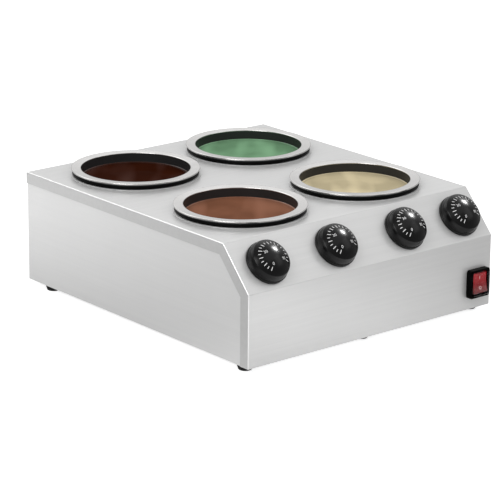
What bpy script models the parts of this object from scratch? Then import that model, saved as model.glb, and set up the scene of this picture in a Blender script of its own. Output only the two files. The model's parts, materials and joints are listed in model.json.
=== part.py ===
"""Countertop chocolate melter: a folded sheet-steel casing with four lift-out pots.

Lengths are in metres, +Z is up and the front faces -Y. The origin lies on the surface that
the feet stand on, under the middle of the whole machine.
"""

import math

import bmesh
import bpy
from mathutils import Matrix, Vector

# Fits
GAP = 0.0003
OVERRUN = 0.005
MERGE_DISTANCE = 0.00001

# Casing
CASING_WIDTH = 0.400
CASING_DEPTH = 0.450
CASING_HEIGHT = 0.145
SHEET = 0.0010
SLOPE_RUN = 0.048
SLOPE_DROP = 0.0525
BEND_RADIUS = 0.0025
FOLD_RADIUS = 0.0013
COVER_FLANGE = 0.015
TRAY_FLANGE = 0.012

# Vents
VENT_WIDTH = 0.004
VENT_LENGTH = 0.030
VENT_PITCH = 0.012
BACK_VENTS = 9
BASE_VENTS = 4
BACK_VENT_UP_SHARE = 0.48
SLOT_END_SHARE = 0.8
BASE_VENT_X_SHARE = 0.24
BASE_VENT_Y_SHARES = (-0.22, 0.22)

# Feet
FOOT_RADIUS = 0.010
FOOT_TAPER = 0.0012
FOOT_HEIGHT = 0.008
FOOT_STUD_RADIUS = 0.0030
FOOT_STUD_BARB = 0.0014
FOOT_STUD_TIP = 0.0040
FOOT_SIDE_INSET = 0.014
FOOT_FRONT_INSET = 0.022
FOOT_REAR_INSET = 0.038

# Pots
DECK_SIDE_MARGIN = 0.0215
DECK_END_MARGIN = 0.0055
POT_SPACING = 0.0206
POT_DEPTH = 0.105
POT_WALL = 0.0015
POT_CORNER = 0.012
RIM_WIDTH = 0.0127
RIM_THICKNESS = 0.0016
RIM_EDGE = 0.0006
RIM_OVERHANG = 0.0013
SEAL_HEIGHT = 0.0042
WELL_CLEARANCE = 0.0025
WELL_SHEET = 0.0008
WELL_COLLAR = 0.0022
WELL_FLOOR_CLEARANCE = 0.003
CHOCOLATE_DROP = 0.0125
POT_X_SHARE = 0.236
POT_Y_SHARE = 0.2635

# Heaters
HEATER_INSET = 0.010
HEATER_THICKNESS = 0.004

# Knobs and thermostats
KNOB_X_SHARES = (-0.386, -0.115, 0.171, 0.403)
KNOB_DOWN_SLOPE = 0.0376
KNOB_RADIUS = 0.0262
KNOB_SKIRT = 0.0017
KNOB_TAPER = 0.0035
KNOB_SKIRT_HEIGHT = 0.004
KNOB_HEIGHT = 0.0228
KNOB_EDGE = 0.0015
KNOB_DOME = 0.0045
KNOB_DOME_SHARES = (0, 0.6)
KNOB_LIFT = 0.0008
KNOB_RECESS_RADIUS = 0.0125
KNOB_RECESS_DEPTH = 0.006
SHAFT_RADIUS = 0.003
SHAFT_REACH = 0.016
SHAFT_FLAT = 0.0015
SHAFT_FLAT_LENGTH = 0.009
SHAFT_ROOT = 0.008
BUSHING_RADIUS = 0.005
BUSHING_REACH = 0.005
NUT_ACROSS_FLATS = 0.014
NUT_THICKNESS = 0.0025
THERMOSTAT_WIDTH = 0.036
THERMOSTAT_LENGTH = 0.034
THERMOSTAT_DEPTH = 0.024
THERMOSTAT_EDGE = 0.002
BLADE_WIDTH = 0.0063
BLADE_THICKNESS = 0.0008
BLADE_LENGTH = 0.008

# Mains switch
SWITCH_FROM_SIDE = 0.025
SWITCH_UP = 0.034
BEZEL_WIDTH = 0.034
BEZEL_HEIGHT = 0.037
BEZEL_PROUD = 0.008
BEZEL_CORNER = 0.0035
BEZEL_EDGE = 0.0010
SWITCH_BODY_WALL = 0.0015
SWITCH_BODY_DEPTH = 0.024
ROCKER_WIDTH = 0.024
ROCKER_HEIGHT = 0.026
ROCKER_FACE = 0.009
ROCKER_DISH = 0.0015
ROCKER_SHOULDER = 0.004
ROCKER_HUB = 0.004
ROCKER_TILT = 7.0
ROCKER_SIDE_CLEARANCE = 0.0006
ROCKER_END_CLEARANCE = 0.0019
BOOT_WALL = 0.0008
BOOT_SPACE = 0.0023
BOOT_EDGE = 0.0008
BOOT_CORNER = 0.0025

# Terminal block and cable gland
BLOCK_WIDTH = 0.034
BLOCK_LENGTH = 0.020
BLOCK_HEIGHT = 0.016
BLOCK_EDGE = 0.0012
BLOCK_HOLE_RADIUS = 0.0022
BLOCK_HOLE_DEPTH = 0.008
BLOCK_PITCH = 0.010
BLOCK_Y_SHARE = 0.36
GLAND_BORE = 0.0042
GLAND_BARREL = 0.008
GLAND_BARREL_LENGTH = 0.009
GLAND_ACROSS_FLATS = 0.024
GLAND_HEX_LENGTH = 0.005
GLAND_CAP_RADIUS = 0.0105
GLAND_CAP_LENGTH = 0.011
GLAND_LIP = 0.0025
GLAND_NUT_THICKNESS = 0.004
GLAND_FROM_SIDE = 0.036
GLAND_UP = 0.030

# Facets
RIM_STEPS = 36
POT_STEPS = 28
KNOB_STEPS = 24
SHAFT_STEPS = 12
FOOT_STEPS = 12
BEND_STEPS = 3
SLOT_STEPS = 1
ARC_STEPS = 2
HOLE_STEPS = 8
HEXAGON = 6
SHARP_ANGLE = 35.0

# Places that follow from the sizes above
PANEL_INSET = SHEET + GAP
FRONT_REACH = GAP + BEZEL_PROUD + GAP + BOOT_SPACE + BOOT_WALL
BACK_REACH = GLAND_HEX_LENGTH + GLAND_CAP_LENGTH - PANEL_INSET
FRONT_Y = (FRONT_REACH - CASING_DEPTH - BACK_REACH) / 2
BACK_Y = FRONT_Y + CASING_DEPTH
SIDE_X = CASING_WIDTH / 2
FLOOR_Z = FOOT_HEIGHT + GAP
DECK_Z = FLOOR_Z + CASING_HEIGHT
DECK_FRONT_Y = FRONT_Y + SLOPE_RUN
DECK_LENGTH = BACK_Y - DECK_FRONT_Y
SLOPE_LENGTH = math.hypot(SLOPE_RUN, SLOPE_DROP)
SLOPE_ANGLE = math.atan2(SLOPE_DROP, SLOPE_RUN)
PANEL_INNER_X = SIDE_X - PANEL_INSET - SHEET
BACK_PANEL_Y = BACK_Y - PANEL_INSET
BACK_INNER_Y = BACK_PANEL_Y - SHEET
TRAY_TOP_Z = FLOOR_Z + TRAY_FLANGE
BASE_TOP_Z = FLOOR_Z + SHEET

# The pots stand two by two, as large as the shorter side of the deck takes
DECK_ROOM = min(CASING_WIDTH - 2 * DECK_SIDE_MARGIN, DECK_LENGTH - 2 * DECK_END_MARGIN)
COLLAR_RADIUS = (DECK_ROOM - POT_SPACING) / 4
SEAL_RADIUS = COLLAR_RADIUS - WELL_COLLAR
RIM_RADIUS = SEAL_RADIUS + RIM_OVERHANG
POT_RADIUS = RIM_RADIUS - RIM_WIDTH
WELL_RADIUS = POT_RADIUS + POT_WALL + WELL_CLEARANCE
WELL_OUTER = WELL_RADIUS + WELL_SHEET
DECK_HOLE = WELL_OUTER + 2 * GAP
COLLAR_TOP = GAP + WELL_SHEET
SEAL_BOTTOM = COLLAR_TOP + GAP
SEAL_TOP = SEAL_BOTTOM + SEAL_HEIGHT
POT_FLANGE_BOTTOM = SEAL_TOP + GAP
POT_TOP = POT_FLANGE_BOTTOM + POT_WALL
RIM_BOTTOM = POT_TOP + GAP
RIM_TOP = RIM_BOTTOM + RIM_THICKNESS
POT_FLOOR = POT_TOP - POT_DEPTH
WELL_FLOOR = POT_FLOOR - POT_WALL - WELL_FLOOR_CLEARANCE
HEATER_TOP = WELL_FLOOR - WELL_SHEET - GAP

POT_PLACES = {
    "rear_left": (-1, 1),
    "rear_right": (1, 1),
    "front_left": (-1, -1),
    "front_right": (1, -1),
}

STEEL = (0.62, 0.62, 0.61)
BRIGHT_STEEL = (0.78, 0.78, 0.77)
BLACK_COATING = (0.012, 0.012, 0.013)
GLOSS_BLACK = (0.006, 0.006, 0.007)
RUBBER_BLACK = (0.015, 0.015, 0.015)
CHOCOLATE_COLOURS = {
    "rear_left": (0.061, 0.011, 0.005),
    "rear_right": (0.171, 0.352, 0.188),
    "front_left": (0.216, 0.084, 0.048),
    "front_right": (0.610, 0.515, 0.305),
}


def clear_scene():
    for item in list(bpy.data.objects):
        bpy.data.objects.remove(item, do_unlink=True)


def new_collection(name):
    made = bpy.data.collections.new(name)
    bpy.context.scene.collection.children.link(made)
    return made


def finish(name, colour, roughness, metallic=0.0, coat=0.0, alpha=1.0):
    """A Principled material."""
    material = bpy.data.materials.new(name)
    material.use_nodes = True
    shader = material.node_tree.nodes["Principled BSDF"]
    shader.inputs["Base Color"].default_value = (*colour, 1.0)
    shader.inputs["Roughness"].default_value = roughness
    shader.inputs["Metallic"].default_value = metallic
    shader.inputs["Coat Weight"].default_value = coat
    shader.inputs["Alpha"].default_value = alpha
    return material


def add_part(name, mesh, material, parent=None):
    """A piece of the machine, with the mesh, the material and the empty that carries it."""
    part = bpy.data.objects.new(name, mesh)
    if not mesh.materials:
        mesh.materials.append(material)
    part.material_slots[0].link = "OBJECT"
    part.material_slots[0].material = material
    part.parent = parent
    parts.objects.link(part)
    return part


def add_cutter(name, mesh):
    cutter = bpy.data.objects.new(name, mesh)
    cutter.hide_render = True
    cutter.display_type = "WIRE"
    cutters.objects.link(cutter)
    return cutter


def cut(part, name, mesh):
    """Cuts a closed mesh out of a part."""
    modifier = part.modifiers.new(name, "BOOLEAN")
    modifier.operation = "DIFFERENCE"
    modifier.object = add_cutter(name, mesh)


def baked(mesh, operations=()):
    """A new mesh: the first one after each (operation, mesh) pair in turn."""
    base = bpy.data.objects.new("base", mesh)
    cutters.objects.link(base)
    tools = []
    for operation, tool_mesh in operations:
        tool = bpy.data.objects.new("tool", tool_mesh)
        cutters.objects.link(tool)
        tools.append(tool)
        modifier = base.modifiers.new(operation, "BOOLEAN")
        modifier.operation = operation
        modifier.object = tool
    graph = bpy.context.evaluated_depsgraph_get()
    result = bpy.data.meshes.new_from_object(base.evaluated_get(graph))
    for item in [base, *tools]:
        bpy.data.objects.remove(item)
    return smooth(result)


def smooth(mesh):
    mesh.shade_smooth()
    mesh.set_sharp_from_angle(angle=math.radians(SHARP_ANGLE))
    return mesh


def mesh_from(name, work):
    bmesh.ops.recalc_face_normals(work, faces=work.faces)
    mesh = bpy.data.meshes.new(name)
    work.to_mesh(mesh)
    work.free()
    return mesh


def box_mesh(name, low, high, edge=0.0):
    """A box between two corners, with its edges chamfered if an edge width is given."""
    work = bmesh.new()
    size = Vector(high) - Vector(low)
    middle = (Vector(high) + Vector(low)) / 2
    matrix = Matrix.Translation(middle) @ Matrix.Diagonal((*size, 1.0))
    bmesh.ops.create_cube(work, size=1.0, matrix=matrix)
    if edge > 0:
        bmesh.ops.bevel(work, geom=list(work.edges), offset=edge, segments=1, affect="EDGES")
    return mesh_from(name, work)


def drum_mesh(name, radius, low, high, steps, matrix=None):
    """A cylinder about Z, or a hexagonal or other regular prism, from one height to another."""
    work = bmesh.new()
    place = (matrix or Matrix()) @ Matrix.Translation((0, 0, (low + high) / 2))
    bmesh.ops.create_cone(
        work,
        cap_ends=True,
        segments=steps,
        radius1=radius,
        radius2=radius,
        depth=high - low,
        matrix=place,
    )
    return mesh_from(name, work)


def joined_mesh(name, meshes):
    """One mesh of several closed shapes that lie apart."""
    work = bmesh.new()
    for mesh in meshes:
        work.from_mesh(mesh)
        bpy.data.meshes.remove(mesh)
    return mesh_from(name, work)


def arc(centre_across, centre_up, radius, start, end, steps=ARC_STEPS):
    """Points along an arc, with its start and end angles in degrees."""
    points = []
    for step in range(steps + 1):
        angle = math.radians(start + (end - start) * step / steps)
        points.append((centre_across + radius * math.cos(angle), centre_up + radius * math.sin(angle)))
    return points


def rounded_outline(corners, steps):
    """An outline through corners given as (across, up, radius), with arcs at the round ones."""
    outline = []
    for index, (across, up, radius) in enumerate(corners):
        here = Vector((across, up))
        if radius <= 0:
            outline.append(here)
            continue
        before = (Vector(corners[index - 1][:2]) - here).normalized()
        after = (Vector(corners[(index + 1) % len(corners)][:2]) - here).normalized()
        half = before.angle(after) / 2
        sweep = math.pi - 2 * half
        centre = here + (before + after).normalized() * (radius / math.sin(half))
        start = here + before * (radius / math.tan(half)) - centre
        end = here + after * (radius / math.tan(half)) - centre
        for step in range(steps + 1):
            share = step / steps
            spoke = start * math.sin((1 - share) * sweep) + end * math.sin(share * sweep)
            outline.append(centre + spoke / math.sin(sweep))
    return outline


def prism_mesh(name, outline, axis, low, high, soft_low=0.0, soft_high=0.0):
    """An outline extruded along X, Y or Z, with a soft edge round either end if one is given."""
    spread = {
        "X": lambda across, up: (low, across, up),
        "Y": lambda across, up: (across, low, up),
        "Z": lambda across, up: (across, up, low),
    }[axis]
    along = "XYZ".index(axis)
    step = Vector((0, 0, 0))
    step[along] = high - low
    work = bmesh.new()
    face = work.faces.new([work.verts.new(spread(across, up)) for across, up in outline])
    grown = bmesh.ops.extrude_face_region(work, geom=[face])["geom"]
    far_verts = [item for item in grown if isinstance(item, bmesh.types.BMVert)]
    bmesh.ops.translate(work, vec=step, verts=far_verts)
    bmesh.ops.recalc_face_normals(work, faces=work.faces)
    middle = (low + high) / 2
    for soft, is_high in ((soft_low, False), (soft_high, True)):
        if soft <= 0:
            continue
        rim = [
            edge
            for edge in work.edges
            if all((vert.co[along] > middle) == is_high for vert in edge.verts)
        ]
        bmesh.ops.bevel(work, geom=rim, offset=soft, segments=2, profile=0.5, affect="EDGES")
    return mesh_from(name, work)


def turned_mesh(name, profile, steps, closed=False):
    """A profile of (radius, height) points turned about Z. It runs down the outer side."""
    mesh = bpy.data.meshes.new(name)
    edges = [(index, index + 1) for index in range(len(profile) - 1)]
    if closed:
        edges.append((len(profile) - 1, 0))
    mesh.from_pydata([(radius, 0, height) for radius, height in profile], edges, [])
    blank = bpy.data.objects.new(name, mesh)
    cutters.objects.link(blank)
    screw = blank.modifiers.new("turn", "SCREW")
    screw.axis = "Z"
    screw.angle = 2 * math.pi
    screw.steps = steps
    screw.render_steps = steps
    screw.use_merge_vertices = True
    screw.merge_threshold = MERGE_DISTANCE
    graph = bpy.context.evaluated_depsgraph_get()
    result = bpy.data.meshes.new_from_object(blank.evaluated_get(graph))
    bpy.data.objects.remove(blank)
    bpy.data.meshes.remove(mesh)
    return smooth(result)


def slot_outline(centre_across, centre_up, half_across, half_up):
    """A slot, longer across or longer up, with its ends drawn in."""
    end = min(half_across, half_up) * SLOT_END_SHARE
    return rectangle_outline(centre_across, centre_up, half_across, half_up, end, SLOT_STEPS)


def rectangle_outline(centre_across, centre_up, half_across, half_up, corner, steps=BEND_STEPS):
    """A rectangle with round corners."""
    corners = [
        (centre_across + half_across, centre_up + half_up, corner),
        (centre_across - half_across, centre_up + half_up, corner),
        (centre_across - half_across, centre_up - half_up, corner),
        (centre_across + half_across, centre_up - half_up, corner),
    ]
    return rounded_outline(corners, steps)


def casing_outline(inset, back_y, bottom_z, bend):
    """The casing's side view, drawn in from its deck, slope and front by the inset."""
    slope_top = (
        DECK_FRONT_Y + inset * (SLOPE_LENGTH - SLOPE_RUN) / SLOPE_DROP,
        DECK_Z - inset,
    )
    slope_bottom = (
        FRONT_Y + inset,
        DECK_Z - SLOPE_DROP - inset * (SLOPE_LENGTH - SLOPE_DROP) / SLOPE_RUN,
    )
    corners = [
        (back_y, DECK_Z - inset, bend),
        (*slope_top, bend),
        (*slope_bottom, bend),
        (FRONT_Y + inset, bottom_z, 0),
        (back_y, bottom_z, 0),
    ]
    return rounded_outline(corners, BEND_STEPS)


def hexagon_radius(across_flats):
    return across_flats / 2 / math.cos(math.pi / HEXAGON)


def pot_centre(name):
    """Where a pot stands on the deck."""
    side, end = POT_PLACES[name]
    middle_y = (BACK_Y + DECK_FRONT_Y) / 2
    return Vector((side * POT_X_SHARE * CASING_WIDTH, middle_y + end * POT_Y_SHARE * DECK_LENGTH, DECK_Z))


def knob_place(share):
    """The matrix of a knob's axis: its origin on the slope, with Z square to the slope."""
    down = KNOB_DOWN_SLOPE / SLOPE_LENGTH
    origin = (share * CASING_WIDTH, DECK_FRONT_Y - SLOPE_RUN * down, DECK_Z - SLOPE_DROP * down)
    return Matrix.Translation(origin) @ Matrix.Rotation(SLOPE_ANGLE, 4, "X")


def switch_centre():
    return Vector((SIDE_X - SWITCH_FROM_SIDE, FRONT_Y, FLOOR_Z + SWITCH_UP))


def gland_centre():
    return Vector((SIDE_X - GLAND_FROM_SIDE, BACK_PANEL_Y, FLOOR_Z + GLAND_UP))


def feet_places():
    """Each foot's name and its place across and along the base."""
    side = SIDE_X - FOOT_SIDE_INSET
    front = FRONT_Y + FOOT_FRONT_INSET
    rear = BACK_Y - FOOT_REAR_INSET
    across = (("left", -side), ("middle", 0), ("right", side))
    along = (("front", front), ("rear", rear))
    return [(f"foot_{end}_{at}", (x, y)) for end, y in along for at, x in across]


def switch_body_half():
    """Half the width and half the height of the switch's body behind the front sheet."""
    half_width = ROCKER_WIDTH / 2 + ROCKER_SIDE_CLEARANCE + SWITCH_BODY_WALL
    half_height = ROCKER_HEIGHT / 2 + ROCKER_END_CLEARANCE + SWITCH_BODY_WALL
    return half_width, half_height


def make_top_cover():
    """The deck, slope and front in one bent sheet, with flanges folded down its sides and back."""
    cover = add_part(
        "top_cover",
        prism_mesh(
            "top_cover",
            casing_outline(0, BACK_Y, FLOOR_Z - OVERRUN, BEND_RADIUS),
            "X",
            -SIDE_X,
            SIDE_X,
            FOLD_RADIUS,
            FOLD_RADIUS,
        ),
        brushed,
    )
    inner_x = SIDE_X - SHEET
    inside = casing_outline(SHEET, BACK_Y - SHEET, FLOOR_Z - 2 * OVERRUN, BEND_RADIUS - SHEET)
    cut(cover, "cover_inside", prism_mesh("cover_inside", inside, "X", -inner_x, inner_x))
    below = casing_outline(COVER_FLANGE, BACK_Y + OVERRUN, FLOOR_Z - 2 * OVERRUN, 0)
    outer_x = SIDE_X + OVERRUN
    cut(cover, "cover_flanges", prism_mesh("cover_flanges", below, "X", -outer_x, outer_x))
    low = (-outer_x, FRONT_Y - OVERRUN, FLOOR_Z - 3 * OVERRUN)
    high = (outer_x, BACK_Y + OVERRUN, FLOOR_Z)
    cut(cover, "cover_trim", box_mesh("cover_trim", low, high))
    holes = []
    for name in POT_PLACES:
        centre = Matrix.Translation(pot_centre(name))
        holes.append(drum_mesh(name, DECK_HOLE, -OVERRUN, OVERRUN, POT_STEPS, centre))
    cut(cover, "deck_holes", joined_mesh("deck_holes", holes))
    holes = []
    for share in KNOB_X_SHARES:
        hole = BUSHING_RADIUS + GAP
        holes.append(drum_mesh("hole", hole, -OVERRUN, OVERRUN, SHAFT_STEPS, knob_place(share)))
    cut(cover, "slope_holes", joined_mesh("slope_holes", holes))
    half_width, half_height = switch_body_half()
    centre = switch_centre()
    window = rectangle_outline(
        centre.x, centre.z, half_width + GAP, half_height + GAP, BEZEL_EDGE, SLOT_STEPS
    )
    cut(cover, "switch_window", prism_mesh("switch_window", window, "Y", FRONT_Y - OVERRUN, FRONT_Y + OVERRUN))


def make_side_panels():
    """A flat sheet each side, seated inside the cover's flanges."""
    outline = casing_outline(PANEL_INSET, BACK_PANEL_Y, FLOOR_Z, BEND_RADIUS - PANEL_INSET)
    outer_x = SIDE_X - PANEL_INSET
    for name, low, high in (
        ("left_side_panel", -outer_x, -PANEL_INNER_X),
        ("right_side_panel", PANEL_INNER_X, outer_x),
    ):
        add_part(name, prism_mesh(name, outline, "X", low, high), brushed)


def make_back_panel():
    """The rear sheet between the side panels, with side flanges turned in and a row of vents."""
    half = PANEL_INNER_X - GAP
    top = DECK_Z - BEND_RADIUS - GAP
    low = (-half, BACK_INNER_Y - TRAY_FLANGE, FLOOR_Z)
    panel = add_part("back_panel", box_mesh("back_panel", low, (half, BACK_PANEL_Y, top)), brushed)
    inner = half - SHEET
    low = (-inner, BACK_INNER_Y - TRAY_FLANGE - OVERRUN, FLOOR_Z - OVERRUN)
    cut(panel, "back_inside", box_mesh("back_inside", low, (inner, BACK_INNER_Y, top + OVERRUN)))
    low = (-half - OVERRUN, BACK_INNER_Y - TRAY_FLANGE - OVERRUN, FLOOR_Z - OVERRUN)
    high = (half + OVERRUN, BACK_INNER_Y, TRAY_TOP_Z + GAP)
    cut(panel, "back_notch", box_mesh("back_notch", low, high))
    slots = []
    up = FLOOR_Z + BACK_VENT_UP_SHARE * CASING_HEIGHT
    for index in range(BACK_VENTS):
        across = (index - (BACK_VENTS - 1) / 2) * VENT_PITCH
        outline = slot_outline(across, up, VENT_WIDTH / 2, VENT_LENGTH / 2)
        slots.append(prism_mesh("slot", outline, "Y", BACK_INNER_Y - OVERRUN, BACK_PANEL_Y + OVERRUN))
    cut(panel, "back_vents", joined_mesh("back_vents", slots))
    turn = Matrix.Translation(gland_centre()) @ Matrix.Rotation(-math.pi / 2, 4, "X")
    hole = drum_mesh("gland_hole", GLAND_BARREL + GAP, -OVERRUN, OVERRUN, SHAFT_STEPS, turn)
    cut(panel, "gland_hole", hole)


def make_base_plate():
    """The bottom tray, with a flange folded up all round, vents and a hole for each foot."""
    half = PANEL_INNER_X - GAP
    front = FRONT_Y + PANEL_INSET
    back = BACK_INNER_Y - GAP
    tray = box_mesh("base_plate", (-half, front, FLOOR_Z), (half, back, TRAY_TOP_Z))
    plate = add_part("base_plate", tray, galvanised)
    low = (-half + SHEET, front + SHEET, BASE_TOP_Z)
    high = (half - SHEET, back - SHEET, TRAY_TOP_Z + OVERRUN)
    cut(plate, "tray_inside", box_mesh("tray_inside", low, high))
    slots = []
    for side in (-1, 1):
        for share in BASE_VENT_Y_SHARES:
            for index in range(BASE_VENTS):
                across = side * BASE_VENT_X_SHARE * CASING_WIDTH
                along = share * CASING_DEPTH + (index - (BASE_VENTS - 1) / 2) * VENT_PITCH
                along += (FRONT_Y + BACK_Y) / 2
                outline = slot_outline(across, along, VENT_LENGTH / 2, VENT_WIDTH / 2)
                slots.append(prism_mesh("slot", outline, "Z", FLOOR_Z - OVERRUN, BASE_TOP_Z + OVERRUN))
    cut(plate, "base_vents", joined_mesh("base_vents", slots))
    holes = []
    for _, (x, y) in feet_places():
        place = Matrix.Translation((x, y, FLOOR_Z))
        hole = FOOT_STUD_RADIUS + GAP
        holes.append(drum_mesh("hole", hole, -OVERRUN, OVERRUN, FOOT_STEPS, place))
    cut(plate, "foot_holes", joined_mesh("foot_holes", holes))


def make_feet():
    """Push-in rubber feet, each held by a barbed stud above the base."""
    barb = BASE_TOP_Z + GAP
    profile = [
        (0, barb + FOOT_STUD_TIP),
        (FOOT_STUD_RADIUS + FOOT_STUD_BARB, barb),
        (FOOT_STUD_RADIUS, barb),
        (FOOT_STUD_RADIUS, FOOT_HEIGHT),
        (FOOT_RADIUS, FOOT_HEIGHT),
        (FOOT_RADIUS - FOOT_TAPER, 0),
        (0, 0),
    ]
    mesh = turned_mesh("foot", profile, FOOT_STEPS)
    for name, (x, y) in feet_places():
        foot = add_part(name, mesh, rubber)
        foot.location = (x, y, 0)


def make_pot_station(name, meshes, coating):
    """One pot with all that it stands in, hung from the deck."""
    axis = bpy.data.objects.new(f"axis_{name}", None)
    axis.location = pot_centre(name)
    parts.objects.link(axis)
    add_part(f"well_{name}", meshes["well"], brushed, axis)
    add_part(f"heater_{name}", meshes["heater"], heater_steel, axis)
    add_part(f"seal_ring_{name}", meshes["seal"], rubber, axis)
    add_part(f"pot_{name}", meshes["pot"], black_coat, axis)
    add_part(f"pot_rim_{name}", meshes["rim"], polished, axis)
    add_part(f"chocolate_{name}", meshes["chocolate"], coating, axis)


def well_mesh():
    """The fixed cup under a pot, with a collar that lies on the deck."""
    profile = [
        (0, WELL_FLOOR),
        (WELL_RADIUS, WELL_FLOOR),
        (WELL_RADIUS, COLLAR_TOP),
        (COLLAR_RADIUS, COLLAR_TOP),
        (COLLAR_RADIUS, GAP),
        (WELL_OUTER, GAP),
        (WELL_OUTER, WELL_FLOOR - WELL_SHEET),
        (0, WELL_FLOOR - WELL_SHEET),
    ]
    return turned_mesh("well", profile, POT_STEPS)


def heater_mesh():
    """The round heating plate under a well."""
    radius = WELL_OUTER - HEATER_INSET
    profile = [
        (0, HEATER_TOP),
        (radius, HEATER_TOP),
        (radius, HEATER_TOP - HEATER_THICKNESS),
        (0, HEATER_TOP - HEATER_THICKNESS),
    ]
    return turned_mesh("heater", profile, POT_STEPS)


def seal_mesh():
    """The black ring that keeps a pot off the deck."""
    inner = WELL_RADIUS
    profile = [
        (inner, SEAL_TOP),
        (SEAL_RADIUS, SEAL_TOP),
        (SEAL_RADIUS, SEAL_BOTTOM),
        (inner, SEAL_BOTTOM),
    ]
    return turned_mesh("seal_ring", profile, RIM_STEPS, closed=True)


def pot_mesh():
    """The lift-out pot, with a round corner at its floor and a flange that rests on the seal."""
    outer = POT_RADIUS + POT_WALL
    corner = POT_CORNER + POT_WALL
    centre = POT_RADIUS - POT_CORNER
    corner_up = POT_FLOOR + POT_CORNER
    profile = [(0, POT_FLOOR)]
    profile += arc(centre, corner_up, POT_CORNER, -90, 0)
    profile += [
        (POT_RADIUS, POT_TOP),
        (SEAL_RADIUS, POT_TOP),
        (SEAL_RADIUS, POT_FLANGE_BOTTOM),
        (outer, POT_FLANGE_BOTTOM),
    ]
    profile += arc(centre, corner_up, corner, 0, -90)
    profile.append((0, POT_FLOOR - POT_WALL))
    return turned_mesh("pot", profile, POT_STEPS)


def rim_mesh():
    """The bright flat ring on a pot's flange, with its outer edge eased."""
    profile = [
        (POT_RADIUS, RIM_TOP),
        (RIM_RADIUS - RIM_EDGE, RIM_TOP),
        (RIM_RADIUS, RIM_TOP - RIM_EDGE),
        (RIM_RADIUS, RIM_BOTTOM),
        (POT_RADIUS, RIM_BOTTOM),
    ]
    return turned_mesh("pot_rim", profile, RIM_STEPS, closed=True)


def chocolate_mesh():
    """The melted chocolate that fills a pot up to a little under its rim."""
    radius = POT_RADIUS - GAP
    corner = POT_CORNER - GAP
    top = RIM_TOP - CHOCOLATE_DROP
    profile = [(0, top), (radius, top)]
    profile += arc(radius - corner, POT_FLOOR + POT_CORNER, corner, 0, -90)
    profile.append((0, POT_FLOOR + GAP))
    return turned_mesh("chocolate", profile, POT_STEPS)


def knob_mesh():
    """A round knob with a thin skirt, tapered sides, a domed face and a bore for the shaft."""
    skirt = KNOB_RADIUS + KNOB_SKIRT
    top = KNOB_LIFT + KNOB_HEIGHT
    edge_up = top - KNOB_DOME - KNOB_EDGE
    bore = SHAFT_RADIUS + GAP
    bore_end = SHAFT_REACH + GAP
    recess_end = KNOB_LIFT + KNOB_RECESS_DEPTH
    face = KNOB_RADIUS - KNOB_TAPER - KNOB_EDGE
    dome = [(face * share, top - KNOB_DOME * share * share) for share in KNOB_DOME_SHARES]
    profile = dome + arc(face, edge_up, KNOB_EDGE, 90, 0)
    profile += [
        (KNOB_RADIUS, KNOB_LIFT + KNOB_SKIRT_HEIGHT),
        (skirt, KNOB_LIFT + KNOB_SKIRT_HEIGHT - KNOB_SKIRT),
        (skirt, KNOB_LIFT),
        (KNOB_RECESS_RADIUS, KNOB_LIFT),
        (KNOB_RECESS_RADIUS, recess_end),
        (bore, recess_end),
        (bore, bore_end),
        (0, bore_end),
    ]
    return turned_mesh("knob", profile, KNOB_STEPS)


def shaft_mesh():
    """A thermostat's spindle, with a flat where the knob grips it."""
    bottom = -PANEL_INSET - SHAFT_ROOT
    shaft = drum_mesh("shaft", SHAFT_RADIUS, bottom, SHAFT_REACH, SHAFT_STEPS)
    low = (-SHAFT_RADIUS - OVERRUN, SHAFT_FLAT, SHAFT_REACH - SHAFT_FLAT_LENGTH)
    high = (SHAFT_RADIUS + OVERRUN, SHAFT_RADIUS + OVERRUN, SHAFT_REACH + OVERRUN)
    return baked(shaft, [("DIFFERENCE", box_mesh("flat", low, high))])


def thermostat_mesh():
    """A thermostat's case with its bushing, bore and two terminal blades."""
    top = -PANEL_INSET
    bottom = top - THERMOSTAT_DEPTH
    half_width = THERMOSTAT_WIDTH / 2
    half_length = THERMOSTAT_LENGTH / 2
    case = box_mesh(
        "thermostat",
        (-half_width, -half_length, bottom),
        (half_width, half_length, top),
        THERMOSTAT_EDGE,
    )
    bushing = drum_mesh("bushing", BUSHING_RADIUS, top - OVERRUN, BUSHING_REACH, SHAFT_STEPS)
    bore = drum_mesh("bore", SHAFT_RADIUS + GAP, top - SHAFT_ROOT - GAP, BUSHING_REACH + OVERRUN, SHAFT_STEPS)
    operations = [("UNION", bushing)]
    for side in (-1, 1):
        centre = side * half_width / 2
        low = (centre - BLADE_WIDTH / 2, -BLADE_THICKNESS / 2, bottom - BLADE_LENGTH)
        high = (centre + BLADE_WIDTH / 2, BLADE_THICKNESS / 2, bottom + OVERRUN)
        operations.append(("UNION", box_mesh("blade", low, high)))
    operations.append(("DIFFERENCE", bore))
    return baked(case, operations)


def nut_mesh(across_flats, hole, low, high, steps):
    """A hexagonal nut between two heights."""
    blank = drum_mesh("nut", hexagon_radius(across_flats), low, high, HEXAGON)
    return baked(blank, [("DIFFERENCE", drum_mesh("nut_hole", hole, low - OVERRUN, high + OVERRUN, steps))])


def make_knob_station(number, share, meshes):
    """One thermostat behind the slope, with its nut, spindle and knob on one axis."""
    axis = bpy.data.objects.new(f"knob_axis_{number}", None)
    axis.matrix_world = knob_place(share)
    parts.objects.link(axis)
    add_part(f"thermostat_{number}", meshes["thermostat"], dark_plastic, axis)
    add_part(f"locknut_{number}", meshes["nut"], polished, axis)
    add_part(f"thermostat_shaft_{number}", meshes["shaft"], polished, axis)
    add_part(f"knob_{number}", meshes["knob"], gloss_black, axis)


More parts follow.
